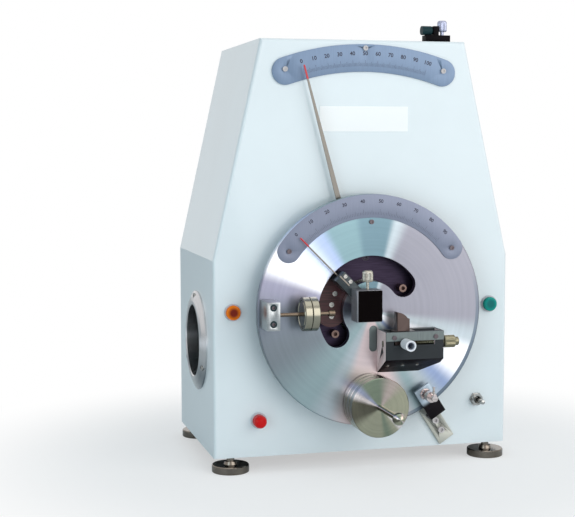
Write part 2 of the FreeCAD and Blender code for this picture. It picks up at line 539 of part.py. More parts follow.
# Balance rod with its two wheels
rod_z = "hub + rod_dz"
upright = block("bracket_left", "bracket_front", "hub - 12.5", "bracket_wide",
    f"{disc_front} - bracket_front", "28")
holes = [rod("small_hole", "34", x, disc_front, z) for x, z in bracket_spots]
holes += [rod("3 + head_gap", "6", x, "bracket_front + 3", z) for x, z in bracket_spots]
node("rod_bracket", cut(upright, rod("rod_radius + 0.02", "10", "-112", "rod_y", rod_z, "right"), *holes))
node("balance_rod", fuse(rod("rod_radius", "62", "-112", "rod_y", rod_z, "right"),
    rod("3.3", "6", "-51", "rod_y", rod_z, "right")))
wheel_profile = [("rod_radius + running", "0"), ("12", "0"), ("12.6", "0.8"), ("14", "0.8"), ("14.4", "0"),
    ("wheel_radius - 0.5", "0"), ("wheel_radius", "0.5"), ("wheel_radius", "wheel_wide - 0.5"),
    ("wheel_radius - 0.5", "wheel_wide"), ("14.4", "wheel_wide"), ("14", "wheel_wide - 0.8"),
    ("12.6", "wheel_wide - 0.8"), ("12", "wheel_wide"), ("rod_radius + running", "wheel_wide")]
node("balance_wheel_outer", turned(wheel_profile, "-78.9", "rod_y", rod_z, "right"))
node("balance_wheel_inner", turned(wheel_profile, "-71.2", "rod_y", rod_z, "right"))

# Cradle for the bending plate: channel with a slider on a feed screw
side = [("cradle_front", "cradle_low"), ("cradle_front", "cradle_top"), (disc_front, "cradle_top"),
    (disc_front, "cradle_low - 16.5")]
cradle = prism(side, "cradle_right - cradle_left", "0", "cradle_left", "hub", "YZ_Plane")
channel = block("cradle_left + 3", "channel_front", "hub + feed_z - 5", "cradle_right - cradle_left - 6",
    "channel_back - channel_front", "30")
window = block("cradle_left + 9", "cradle_front - 1", "hub - 33", "44", "6", "4")
bevel = prism([("cradle_right + 2", "-52"), ("cradle_right + 2", "-70"), ("cradle_right - 26", "-70")],
    "40", "-20", "0", "hub")
feed_hole = rod("feed_radius + running", "80", "cradle_left - 1", "feed_y", "hub + feed_z", "right")
node("plate_bracket", cut(cradle, channel, window, bevel, feed_hole))
strip = block("cradle_left + 5", "cradle_front - 1.2", "hub + cradle_top - 9.4",
    "cradle_right - cradle_left - 10", "1.2", "7.4")
strip_spots = [("cradle_left + 9", "hub + cradle_top - 5.7"),
    ("cradle_right - 9", "hub + cradle_top - 5.7")]
node("guide_strip", strip)
slider_base = block("slider_left", "channel_front + 0.1", "hub + feed_z - 4.9", "slider_wide",
    "channel_back - channel_front - 0.2", "17.7")
stalk = block("finger_left", "-43", "hub - 20", "finger_wide", "10", "13")
finger = cut(rod("finger_wide", "10", "finger_left", "-33", "hub - 13.5"),
    block("finger_left - 14", "-44", "hub - 30", "40", "12", "16.5"),
    block("finger_left - 14", "-44", "hub - 14", "14", "12", "16"))
slider = cut(fuse(slider_base, stalk, finger),
    rod("feed_radius + 0.1", "slider_wide + 2", "slider_left - 1", "feed_y", "hub + feed_z", "right"),
    rod("large_hole", "6", "clamp_x", "channel_front + 2", "hub + clamp_dz"))
node("plate_slider", slider)
feed = [("0", "0"), ("feed_radius", "0"), ("feed_radius", "cradle_right - cradle_left + 3"),
    ("6.4", "cradle_right - cradle_left + 3"), ("6.4", "cradle_right - cradle_left + 15"),
    ("4.5", "cradle_right - cradle_left + 15.5"), ("4.5", "cradle_right - cradle_left + 19"),
    ("0", "cradle_right - cradle_left + 19")]
node("feed_screw", turned(feed, "cradle_left", "feed_y", "hub + feed_z", "right"))
clamp_stem = rod("large_shank", "clamp_clear + 5.5", "clamp_x", "cradle_front + 5", "hub + clamp_dz")
clamp_knob = rod("clamp_radius", "clamp_length", "clamp_x", "cradle_front - clamp_clear", "hub + clamp_dz")
clamp_well = rod("3.4", "9", "clamp_x", "cradle_front - clamp_clear - 7.5", "hub + clamp_dz")
node("clamp_screw", cut(fuse(clamp_stem, clamp_knob), clamp_well))
small = [screw(x, f"{disc_front} - plate_thick", z, "2.4", "1.4", "small_shank", "5")
    for x, z in angle_spots]
mid_x, mid_z = polar("mid_screw", "0")
small.append(screw(mid_x, disc_front, mid_z, "2.4", "1.4", "small_shank", "5"))
small += [screw(x, "bracket_front + 3", z, "3", "3", "small_shank", "28.8") for x, z in bracket_spots]
small += [rod("2.4", "1", x, "cradle_front - 1.2", z) for x, z in strip_spots]
node("disc_screws", group(*small))

# Weights on their stud
weight_z = "hub + weight_dz"
stud = fuse(rod("spindle_radius", "-spindle_front + disc_back - 0.2", "0", "disc_back - 0.2", weight_z),
    ball("ball_radius", "0", "spindle_front - 5", weight_z))
node("weight_stud", stud)
weight_profile = [("spindle_radius + running", "0"), ("weight_radius - 0.8", "0"), ("weight_radius", "0.8"),
    ("weight_radius", "weight_thick - 0.8"), ("weight_radius - 0.8", "weight_thick"),
    ("22", "weight_thick"), ("21", "weight_thick - 1"), ("8", "weight_thick - 1"), ("7", "weight_thick"),
    ("spindle_radius + running", "weight_thick")]
for count, name in enumerate(("weight_inner", "weight_middle", "weight_outer")):
    node(name, turned(weight_profile, "0", f"weight_back - {count} * (weight_thick + seat_gap)", weight_z))

doc.recompute()
for obj in doc.Objects:
    if "Invalid" in obj.State or "Error" in obj.State:
        raise RuntimeError(f"{obj.Label} does not build: {obj.State}")
for name, obj in nodes.items():
    if obj.Shape.isNull() or not obj.Shape.isValid():
        raise RuntimeError(f"{name} has no sound shape")
    obj.Shape.exportStep(f"parts/{name}.step")
print(len(nodes), "nodes written")
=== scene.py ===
import bpy
import math
from mathutils import Euler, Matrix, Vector


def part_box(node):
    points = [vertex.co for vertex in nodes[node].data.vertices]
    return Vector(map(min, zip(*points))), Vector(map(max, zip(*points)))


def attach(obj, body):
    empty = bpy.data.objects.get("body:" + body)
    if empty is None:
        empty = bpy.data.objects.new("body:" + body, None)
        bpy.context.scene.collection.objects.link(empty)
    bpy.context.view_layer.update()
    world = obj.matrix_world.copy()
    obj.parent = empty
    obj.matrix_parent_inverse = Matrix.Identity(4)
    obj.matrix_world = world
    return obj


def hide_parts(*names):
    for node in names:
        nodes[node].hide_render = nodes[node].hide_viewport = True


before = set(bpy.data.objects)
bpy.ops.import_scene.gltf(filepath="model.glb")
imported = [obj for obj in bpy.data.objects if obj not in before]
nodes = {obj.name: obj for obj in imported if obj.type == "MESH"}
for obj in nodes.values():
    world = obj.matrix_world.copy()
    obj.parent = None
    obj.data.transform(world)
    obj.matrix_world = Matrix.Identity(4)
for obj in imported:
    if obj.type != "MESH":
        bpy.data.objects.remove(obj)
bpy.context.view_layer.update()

print("frame loaded:", len(nodes), "nodes")

# the frame's own places that the pieces below are set from
mm = 0.001
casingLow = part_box("casing")[0]
discLow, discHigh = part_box("pendulum_disc")
hub = Vector((0, 0, (discLow.z + discHigh.z) / 2))
panelY = casingLow.y
sill = casingLow.z


def newGroup(name, inputs, outputs):
    group = bpy.data.node_groups.new(name, "ShaderNodeTree")
    for label, value in inputs.items():
        kind = "NodeSocketVector" if isinstance(value, tuple) else "NodeSocketFloat"
        group.interface.new_socket(label, in_out="INPUT", socket_type=kind).default_value = value
    for label in outputs:
        group.interface.new_socket(label, in_out="OUTPUT", socket_type="NodeSocketFloat")
    return group, group.nodes.new("NodeGroupInput"), group.nodes.new("NodeGroupOutput")


def setSockets(node, sockets):
    for label, value in sockets.items():
        node.inputs[label].default_value = value


def addNode(tree, kind, sockets=None, **settings):
    node = tree.nodes.new(kind)
    for key, value in settings.items():
        setattr(node, key, value)
    setSockets(node, sockets or {})
    return node


# each link names a node, its output, the next node and its input
def connect(tree, *links):
    for giver, output, taker, socket in links:
        tree.links.new(giver.outputs[output], taker.inputs[socket])


def makeHandlingGroup():
    group, given, result = newGroup(
        "handlingMarks", {"Scale": 30.0, "Middle": 0.3, "Spread": 0.1}, ("Roughness", "Mask"))
    place = addNode(group, "ShaderNodeTexCoord")
    cloud = addNode(group, "ShaderNodeTexNoise", {"Detail": 5})
    centred = addNode(group, "ShaderNodeMath", {1: 0.5}, operation="SUBTRACT")
    spread = addNode(group, "ShaderNodeMath", operation="MULTIPLY")
    total = addNode(group, "ShaderNodeMath", operation="ADD", use_clamp=True)
    connect(
        group,
        (place, "Object", cloud, "Vector"),
        (given, "Scale", cloud, "Scale"),
        (cloud, "Fac", centred, 0),
        (centred, 0, spread, 0),
        (given, "Spread", spread, 1),
        (spread, 0, total, 0),
        (given, "Middle", total, 1),
        (total, 0, result, "Roughness"),
        (cloud, "Fac", result, "Mask"),
    )
    return group


def makeTurningGroup():
    broadShare = 0.12  # broad rings for each fine one
    group, given, result = newGroup(
        "turningRings", {"Centre": (0, 0, 0), "Across": (1, 0, 1), "Rings": 1500.0},
        ("Height", "Shade", "Reach"))
    place = addNode(group, "ShaderNodeTexCoord")
    fromAxis = addNode(group, "ShaderNodeVectorMath", operation="SUBTRACT")
    flat = addNode(group, "ShaderNodeVectorMath", operation="MULTIPLY")
    length = addNode(group, "ShaderNodeVectorMath", operation="LENGTH")
    fine = addNode(group, "ShaderNodeTexNoise", noise_dimensions="1D")
    coarse = addNode(group, "ShaderNodeTexNoise", noise_dimensions="1D")
    fewer = addNode(group, "ShaderNodeMath", {1: broadShare}, operation="MULTIPLY")
    connect(
        group,
        (place, "Object", fromAxis, 0),
        (given, "Centre", fromAxis, 1),
        (fromAxis, "Vector", flat, 0),
        (given, "Across", flat, 1),
        (flat, "Vector", length, 0),
        (length, "Value", fine, "W"),
        (length, "Value", coarse, "W"),
        (given, "Rings", fine, "Scale"),
        (given, "Rings", fewer, 0),
        (fewer, 0, coarse, "Scale"),
        (fine, "Fac", result, "Height"),
        (coarse, "Fac", result, "Shade"),
        (length, "Value", result, "Reach"),
    )
    return group


# the angle round an axis at which the painted reflection fans are set
def makePaintedFanGroup():
    group, given, result = newGroup(
        "paintedFanAngle", {"Centre": (0, 0, 0), "Right": (1, 0, 0), "Up": (0, 0, 1)}, ("Turn",))
    place = addNode(group, "ShaderNodeTexCoord")
    fromAxis = addNode(group, "ShaderNodeVectorMath", operation="SUBTRACT")
    across = addNode(group, "ShaderNodeVectorMath", operation="DOT_PRODUCT")
    along = addNode(group, "ShaderNodeVectorMath", operation="DOT_PRODUCT")
    angle = addNode(group, "ShaderNodeMath", operation="ARCTAN2")
    # an angle from -pi to pi becomes a share from 0 to 1
    toShare = {1: 1 / (2 * math.pi), 2: 0.5}
    share = addNode(group, "ShaderNodeMath", toShare, operation="MULTIPLY_ADD")
    connect(
        group,
        (place, "Object", fromAxis, 0),
        (given, "Centre", fromAxis, 1),
        (fromAxis, "Vector", across, 0),
        (given, "Right", across, 1),
        (fromAxis, "Vector", along, 0),
        (given, "Up", along, 1),
        (across, "Value", angle, 0),
        (along, "Value", angle, 1),
        (angle, 0, share, 0),
        (share, 0, result, "Turn"),
    )
    return group


def makeGrainGroup():
    group, given, result = newGroup(
        "brushedGrain", {"Stretch": (40, 40, 1200)}, ("Height", "Shade"))
    place = addNode(group, "ShaderNodeTexCoord")
    scaled = addNode(group, "ShaderNodeVectorMath", operation="MULTIPLY")
    cloud = addNode(group, "ShaderNodeTexNoise", {"Scale": 1, "Detail": 3})
    connect(
        group,
        (place, "Object", scaled, 0),
        (given, "Stretch", scaled, 1),
        (scaled, "Vector", cloud, "Vector"),
        (cloud, "Fac", result, "Height"),
        (cloud, "Fac", result, "Shade"),
    )
    return group


handlingMarks = makeHandlingGroup()
turningRings = makeTurningGroup()
paintedFanAngle = makePaintedFanGroup()
brushedGrain = makeGrainGroup()

# what the finishes share: the bump's depth, where a noise turns dark and light, grain and sheen
toolMarkDepth = 0.2 * mm
darkNoise, lightNoise = 0.3, 0.7
levelGrain, uprightGrain, evenGrain = (60, 60, 900), (900, 60, 60), (60, 60, 60)
coatGloss = 0.05
mattSheen = 0.05


def placeGroup(tree, group, **values):
    sockets = {label.capitalize(): value for label, value in values.items()}
    return addNode(tree, "ShaderNodeGroup", sockets, node_tree=group)


def tinted(colour, factor):
    return tuple(min(1, part * factor) for part in colour)


def addRamp(tree, dark, light, start=darkNoise, end=lightNoise):
    ramp = addNode(tree, "ShaderNodeValToRGB")
    for stop, place, colour in zip(ramp.color_ramp.elements, (start, end), (dark, light)):
        stop.position = place
        stop.color = (*colour, 1)
    return ramp


def shadeColour(tree, shader, mask, colour, low, high):
    ramp = addRamp(tree, tinted(colour, low), tinted(colour, high))
    tree.links.new(mask, ramp.inputs["Fac"])
    connect(tree, (ramp, "Color", shader, "Base Color"))


def addBump(tree, shader, height, strength, distance):
    bump = addNode(tree, "ShaderNodeBump", {"Strength": strength, "Distance": distance})
    tree.links.new(height, bump.inputs["Height"])
    connect(tree, (bump, "Normal", shader, "Normal"))


# patches are the darkest and lightest tint that handling leaves on the colour
def newFinish(name, colour, metallic, roughness, spread=0.08, marks=40, coat=0, anisotropic=0,
              patches=None):
    material = bpy.data.materials.new(name)
    material.use_nodes = True
    tree = material.node_tree
    shader = tree.nodes["Principled BSDF"]
    setSockets(shader, {
        "Base Color": (*colour, 1), "Metallic": metallic, "Coat Weight": coat,
        "Coat Roughness": coatGloss, "Anisotropic": anisotropic,
    })
    wear = placeGroup(tree, handlingMarks, scale=marks, middle=roughness, spread=spread)
    connect(tree, (wear, "Roughness", shader, "Roughness"))
    if patches:
        shadeColour(tree, shader, wear.outputs["Mask"], colour, *patches)
    return material, tree, shader


def paintFinish(name, colour, roughness=0.32, coat=0.5):
    peel = {"scale": 420, "strength": 0.04, "depth": 0.4 * mm}
    material, tree, shader = newFinish(
        name, colour, 0, roughness, spread=0.05, marks=12, coat=coat, patches=(0.975, 1.02))
    place = addNode(tree, "ShaderNodeTexCoord")
    skin = addNode(tree, "ShaderNodeTexNoise", {"Scale": peel["scale"]})
    connect(tree, (place, "Object", skin, "Vector"))
    addBump(tree, shader, skin.outputs["Fac"], peel["strength"], peel["depth"])
    return material


def plasticFinish(name, colour, roughness):
    return newFinish(name, colour, 0, roughness, spread=0.06, marks=90, patches=(0.94, 1.05))[0]


# an angle clockwise from the top, from -180 to 180, becomes a place on a ramp
def rampPlace(angle):
    return (angle + 180) / 360


# painted reflections: light that fans out over a turned face is painted into its colour; each fan
# is an angle clockwise from the top and a tone
def paintedFanColour(tree, shader, shade, contrast, paintedFans):
    centre, stops = paintedFans["centre"], paintedFans["stops"]
    around = placeGroup(tree, paintedFanAngle, centre=centre, right=paintedFans.get("right", (1, 0, 0)))
    first, last = (paintedFans["tones"][tone] for angle, tone in (stops[0], stops[-1]))
    ramp = addRamp(tree, first, last, 0, 1)
    ramp.color_ramp.interpolation = "EASE"
    for angle, tone in stops[1:-1]:
        ramp.color_ramp.elements.new(rampPlace(angle)).color = (*paintedFans["tones"][tone], 1)
    rings = addNode(tree, "ShaderNodeMapRange", {
        "From Min": darkNoise, "From Max": lightNoise,
        "To Min": 1 - contrast, "To Max": 1 + contrast,
    })
    scaled = addNode(tree, "ShaderNodeVectorMath", operation="SCALE")
    tree.links.new(shade, rings.inputs["Value"])
    connect(
        tree,
        (around, "Turn", ramp, "Fac"),
        (rings, "Result", scaled, "Scale"),
        (scaled, "Vector", shader, "Base Color"),
    )
    if "rim" not in paintedFans:
        connect(tree, (ramp, "Color", scaled, 0))
        return
    # a painted reflection of the dark floor on one side of the turned edge
    rim = paintedFans["rim"]
    turned = placeGroup(tree, turningRings, centre=centre)
    outside = addNode(tree, "ShaderNodeMath", {1: rim["reach"]}, operation="GREATER_THAN")
    arc = addRamp(tree, (0, 0, 0), (0, 0, 0), 0, 1)
    for angle, share in rim["arc"]:
        arc.color_ramp.elements.new(rampPlace(angle)).color = (share, share, share, 1)
    both = addNode(tree, "ShaderNodeMath", operation="MULTIPLY")
    mix = addNode(tree, "ShaderNodeMix", {"B": (*rim["tone"], 1)}, data_type="RGBA")
    connect(
        tree,
        (turned, "Reach", outside, 0),
        (around, "Turn", arc, "Fac"),
        (outside, 0, both, 0),
        (arc, "Color", both, 1),
        (both, 0, mix, "Factor"),
        (ramp, "Color", mix, "A"),
        (mix, "Result", scaled, 0),
    )


# turned metal: ring bumps and ring tone, with painted reflection fans in its colour when
# paintedFans are given
def turnedFinish(name, colour, roughness, centre, across=(1, 0, 1), rings=1500, bump=0.12,
                 anisotropic=0.0, contrast=0.12, paintedFans=None):
    material, tree, shader = newFinish(name, colour, 1, roughness, anisotropic=anisotropic)
    turned = placeGroup(tree, turningRings, centre=centre, across=across, rings=rings)
    addBump(tree, shader, turned.outputs["Height"], bump, toolMarkDepth)
    if paintedFans:
        paintedFanColour(tree, shader, turned.outputs["Shade"], contrast, paintedFans)
    else:
        shadeColour(tree, shader, turned.outputs["Shade"], colour, 1 - contrast, 1 + contrast)
    if anisotropic:
        tangent = addNode(tree, "ShaderNodeTangent", direction_type="RADIAL", axis="Y")
        connect(tree, (tangent, "Tangent", shader, "Tangent"))
    return material


def milledFinish(name, colour, roughness, stretch=levelGrain, bump=0.1, contrast=0.1, metallic=1):
    material, tree, shader = newFinish(name, colour, metallic, roughness)
    grain = placeGroup(tree, brushedGrain, stretch=stretch)
    addBump(tree, shader, grain.outputs["Height"], bump, toolMarkDepth)
    shadeColour(tree, shader, grain.outputs["Shade"], colour, 1 - contrast, 1 + contrast)
    return material


# a moulded cap with a painted reflection: dark in its middle, full colour towards the rim
def capFinishWithPaintedReflection(name, middle, rim, centre, radius):
    capLook = {"roughness": 0.22, "sheen": 0.15, "darkTo": 0.42, "fullFrom": 0.9}
    material, tree, shader = newFinish(name, rim, 0, capLook["roughness"], spread=0.05, marks=90)
    shader.inputs["Specular IOR Level"].default_value = capLook["sheen"]
    turned = placeGroup(tree, turningRings, centre=centre)
    outward = addNode(tree, "ShaderNodeMapRange", {"From Max": radius})
    ramp = addRamp(tree, middle, rim, capLook["darkTo"], capLook["fullFrom"])
    connect(
        tree,
        (turned, "Reach", outward, "Value"),
        (outward, "Result", ramp, "Fac"),
        (ramp, "Color", shader, "Base Color"),
    )
    return material


# masks split one piece into tones: each split names a coordinate, its part, the limit and the tone
# below it, and near gives the tone inside a circle round a centre
def splitFinish(name, colour, roughness, splits, metallic, near=None, bump=0.06):
    material, tree, shader = newFinish(name, colour, metallic, roughness)
    grain = placeGroup(tree, brushedGrain, stretch=levelGrain)
    addBump(tree, shader, grain.outputs["Height"], bump, toolMarkDepth)
    place = addNode(tree, "ShaderNodeTexCoord")
    given = addNode(tree, "ShaderNodeRGB")
    given.outputs[0].default_value = (*colour, 1)
    latest = given.outputs[0]
    for source, part, limit, tone in splits:
        split = addNode(tree, "ShaderNodeSeparateXYZ")
        below = addNode(tree, "ShaderNodeMath", {1: limit}, operation="LESS_THAN")
        mix = addNode(tree, "ShaderNodeMix", {"B": (*tone, 1)}, data_type="RGBA")
        tree.links.new(latest, mix.inputs["A"])
        connect(tree, (place, source, split, 0), (split, part, below, 0), (below, 0, mix, "Factor"))
        latest = mix.outputs["Result"]
    if near:
        turned = placeGroup(tree, turningRings, centre=near["centre"])
        inside = addNode(
            tree, "ShaderNodeMapRange",
            {"From Min": near["reach"] + near["blend"], "From Max": near["reach"]},
            interpolation_type="SMOOTHSTEP")
        mix = addNode(tree, "ShaderNodeMix", {"B": (*near["tone"], 1)}, data_type="RGBA")
        tree.links.new(latest, mix.inputs["A"])
        connect(tree, (turned, "Reach", inside, "Value"), (inside, "Result", mix, "Factor"))
        latest = mix.outputs["Result"]
    tree.links.new(latest, shader.inputs["Base Color"])
    return material


# a pointer or a screw whose tone changes at a reach from the hub
def tippedFinish(name, colour, tip, reach, roughness=0.3):
    material, tree, shader = newFinish(name, colour, 1, roughness)
    turned = placeGroup(tree, turningRings, centre=hub)
    beyond = addNode(tree, "ShaderNodeMath", {1: reach}, operation="GREATER_THAN")
    mix = addNode(tree, "ShaderNodeMix", {"A": (*colour, 1), "B": (*tip, 1)}, data_type="RGBA")
    bare = addNode(tree, "ShaderNodeMath", {0: 1}, operation="SUBTRACT")
    connect(
        tree,
        (turned, "Reach", beyond, 0),
        (beyond, 0, mix, "Factor"),
        (beyond, 0, bare, 1),
        (mix, "Result", shader, "Base Color"),
        (bare, 0, shader, "Metallic"),
    )
    return material


weightLow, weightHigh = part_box("weight_outer")
weightCentre = (weightLow + weightHigh) / 2
wheelCentre = sum(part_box("balance_wheel_outer"), Vector()) / 2
gripCentre = sum(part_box("grip_rings"), Vector()) / 2
clampCentre = sum(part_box("clamp_screw"), Vector()) / 2
capNames = ("orange_button", "green_button", "red_lamp")
capCentres = {name: sum(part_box(name), Vector()) / 2 for name in capNames}

# painted reflections on the disc: bright, tinted and dark fans of reflected light round the hub,
# and a painted reflection of the dark floor along its rim
discPaintedFans = {
    "centre": hub,
    "tones": {
        "bright": (0.86, 0.87, 0.92), "blush": (0.66, 0.55, 0.56), "teal": (0.205, 0.315, 0.35),
        "deep": (0.15, 0.235, 0.28), "mauve": (0.265, 0.265, 0.31), "blue": (0.36, 0.44, 0.64),
        "sky": (0.60, 0.68, 0.86), "haze": (0.27, 0.34, 0.52), "dusk": (0.19, 0.215, 0.26),
        "sea": (0.29, 0.385, 0.41), "slate": (0.19, 0.22, 0.25), "lilac": (0.29, 0.29, 0.38),
        "silver": (0.42, 0.48, 0.52),
    },
    "stops": [
        (-180, "blush"), (-167, "blush"), (-155, "silver"), (-143, "sea"), (-112, "slate"),
        (-92, "dusk"), (-74, "lilac"), (-65, "bright"), (-60, "bright"), (-47, "sky"),
        (-36, "blue"), (-27, "teal"), (-12, "teal"), (-6, "deep"), (12, "deep"), (17, "silver"),
        (27, "mauve"), (94, "mauve"), (106, "silver"), (114, "bright"), (124, "bright"),
        (134, "haze"), (144, "silver"), (152, "sea"), (165, "blush"), (180, "blush"),
    ],
    "rim": {
        "reach": 115.2 * mm, "tone": (0.13, 0.165, 0.21),
        "arc": [(70, 0), (88, 0.7), (110, 1), (150, 1), (165, 0.3), (175, 0)],
    },
}
# painted reflections on the outer weight: highlights and dark reflections fanned round its centre
weightPaintedFans = {
    "centre": weightCentre,
    "tones": {
        "olive": (0.32, 0.32, 0.24), "moss": (0.19, 0.23, 0.175), "dark": (0.11, 0.105, 0.08),
        "bright": (0.72, 0.66, 0.66), "blue": (0.30, 0.33, 0.45), "blush": (0.46, 0.38, 0.35),
    },
    "stops": [
        (-180, "olive"), (-135, "olive"), (-105, "dark"), (-76, "dark"), (-62, "bright"),
        (-50, "blue"), (-36, "moss"), (-8, "moss"), (28, "blush"), (60, "olive"), (100, "olive"),
        (120, "blush"), (134, "bright"), (144, "olive"), (165, "moss"), (180, "olive"),
    ],
}
# painted highlights and painted shade on the grip rings, fanned round the bore
gripPaintedFans = {
    "centre": gripCentre, "right": (0, -1, 0),
    "tones": {
        "plain": (0.54, 0.54, 0.55), "bright": (0.90, 0.88, 0.90), "dark": (0.22, 0.24, 0.26),
    },
    "stops": [
        (-180, "plain"), (-135, "dark"), (-100, "plain"), (-88, "bright"), (-76, "plain"),
        (-40, "plain"), (45, "plain"), (74, "plain"), (86, "bright"), (98, "plain"), (135, "dark"),
        (180, "plain"),
    ],
}

# the arrest bracket is painted near black in front of the panel, a painted shadow, and is bluish
# near the disc's rim
arrestPaintedShadow = ("Object", "Y", panelY - 20 * mm, (0.012, 0.01, 0.012))
arrestNear = {"centre": hub, "reach": 110 * mm, "blend": 6 * mm, "tone": (0.42, 0.50, 0.58)}
# the cradle's underside is painted black as shade, and its left wall painted pale as a highlight
cradlePaintedLight = [
    ("Normal", "Z", -0.3, (0.006, 0.004, 0.006)), ("Normal", "X", -0.7, (0.80, 0.63, 0.62)),
]
buttonRadius, lampRadius, clampRadius = 7.4 * mm, 6.7 * mm, 5.5 * mm
pointerRed = (0.62, 0.03, 0.04)

finishes = {made.name: made for made in (
    paintFinish("cabinetPaint", (0.75, 0.81, 0.84)),
    milledFinish("floorSteel", (0.30, 0.31, 0.32), 0.4),
    turnedFinish("footNickel", (0.19, 0.165, 0.14), 0.16, (0, 0, 0), across=(1, 1, 0), rings=900,
                 bump=0.02),
    turnedFinish("gripGrey", (0.42, 0.45, 0.47), 0.25, gripCentre, across=(0, 1, 1), rings=1800,
                 bump=0.04, contrast=0.05, paintedFans=gripPaintedFans),
    milledFinish("screwSteel", (0.40, 0.39, 0.37), 0.25),
    tippedFinish("panelScrew", (0.035, 0.03, 0.04), (0.56, 0.52, 0.52), 80 * mm),
    milledFinish("discScrew", (0.12, 0.10, 0.11), 0.35),
    milledFinish("stopBronze", (0.17, 0.115, 0.10), 0.3),
    # painted shadow for the gaps round the rod bracket's socket screws
    plasticFinish("shadowGapDark", (0.03, 0.045, 0.05), 0.4),
    milledFinish("loadSilver", (0.185, 0.255, 0.375), 0.42, uprightGrain, 0.03, 0.04, 0.3),
    milledFinish("angleSilver", (0.215, 0.235, 0.315), 0.42, uprightGrain, 0.03, 0.04, 0.3),
    milledFinish("guideGreen", (0.15, 0.175, 0.175), 0.35, uprightGrain, 0.05, 0.1, 0.8),
    milledFinish("housingDark", (0.035, 0.026, 0.045), 0.4, contrast=0.2),
    turnedFinish("runningSteel", (0.33, 0.33, 0.33), 0.25, hub),
    splitFinish("arrestNickel", (0.50, 0.50, 0.45), 0.45, [arrestPaintedShadow], 0.6, arrestNear),
    milledFinish("arrestBright", (0.60, 0.53, 0.52), 0.14, bump=0.02, contrast=0.35),
    milledFinish("switchChrome", (0.40, 0.40, 0.39), 0.16, bump=0.02),
    plasticFinish("bezelBlack", (0.02, 0.02, 0.022), 0.4),
    plasticFinish("bezelPale", (0.56, 0.56, 0.60), 0.4),
    capFinishWithPaintedReflection("buttonOrange", (0.20, 0.012, 0.002), (0.90, 0.20, 0.004),
              capCentres["orange_button"], buttonRadius),
    capFinishWithPaintedReflection("buttonGreen", (0.001, 0.15, 0.145), (0.001, 0.30, 0.25),
              capCentres["green_button"], buttonRadius),
    capFinishWithPaintedReflection("lampRed", (0.60, 0.005, 0.006), (0.62, 0.008, 0.008),
              capCentres["red_lamp"], lampRadius),
    plasticFinish("roofBlack", (0.004, 0.003, 0.004), 0.45),
    plasticFinish("vialGreen", (0.016, 0.04, 0.046), 0.3),
    milledFinish("knurledChrome", (0.42, 0.39, 0.34), 0.25, bump=0.02, contrast=0.2, metallic=0.7),
    milledFinish("roofSilver", (0.36, 0.38, 0.50), 0.25, bump=0.02, contrast=0.2, metallic=0.7),
    milledFinish("feedBrass", (0.22, 0.205, 0.14), 0.3, bump=0.02, contrast=0.2),
    # the clamp knob's pale rim is a painted highlight
    capFinishWithPaintedReflection("clampBright", (0.03, 0.05, 0.12), (0.86, 0.86, 0.90), clampCentre, clampRadius),
    milledFinish("postSteel", (0.045, 0.055, 0.06), 0.3, contrast=0.3, metallic=0.7),
    milledFinish("blockSteel", (0.25, 0.25, 0.27), 0.4, metallic=0.5),
    milledFinish("armBrown", (0.06, 0.016, 0.018), 0.4, contrast=0.5, metallic=0.2),
    plasticFinish("viseBlack", (0.0015, 0.0005, 0.0006), 0.8),
    tippedFinish("pointerSteel", (0.17, 0.16, 0.145), pointerRed, 244 * mm),
    tippedFinish("shortPointer", (0.26, 0.23, 0.20), pointerRed, 96 * mm),
    turnedFinish("discAluminium", (0.30, 0.335, 0.375), 0.34, hub, rings=2200, bump=0.02,
                 anisotropic=0.6, contrast=0.03, paintedFans=discPaintedFans),
    milledFinish("grooveSteel", (0.15, 0.185, 0.185), 0.4, evenGrain, 0.05, 0.05),
    milledFinish("blockAluminium", (0.36, 0.38, 0.39), 0.3, (60, 60, 800)),
    turnedFinish("wheelSteel", (0.31, 0.295, 0.235), 0.2, wheelCentre, across=(0, 1, 1),
                 rings=2500),
    milledFinish("rodBronze", (0.15, 0.115, 0.085), 0.25),
    milledFinish("sliderBrown", (0.06, 0.035, 0.03), 0.4, metallic=0.4),
    splitFinish("cradleSteel", (0.040, 0.043, 0.047), 0.35, cradlePaintedLight, 0),
    turnedFinish("weightNickel", (0.27, 0.26, 0.20), 0.24, weightCentre, rings=2600, bump=0.04,
                 anisotropic=0.5, contrast=0.06, paintedFans=weightPaintedFans),
    plasticFinish("motorBlack", (0.03, 0.03, 0.033), 0.4),
    plasticFinish("printInk", (0.02, 0.02, 0.045), 0.5),
    paintFinish("plateWhite", (0.98, 0.98, 0.98), 0.6, 0),
)}
for matt in ("viseBlack", "roofBlack", "shadowGapDark", "cradleSteel", "arrestNickel", "vialGreen"):
    shader = finishes[matt].node_tree.nodes["Principled BSDF"]
    shader.inputs["Specular IOR Level"].default_value = mattSheen

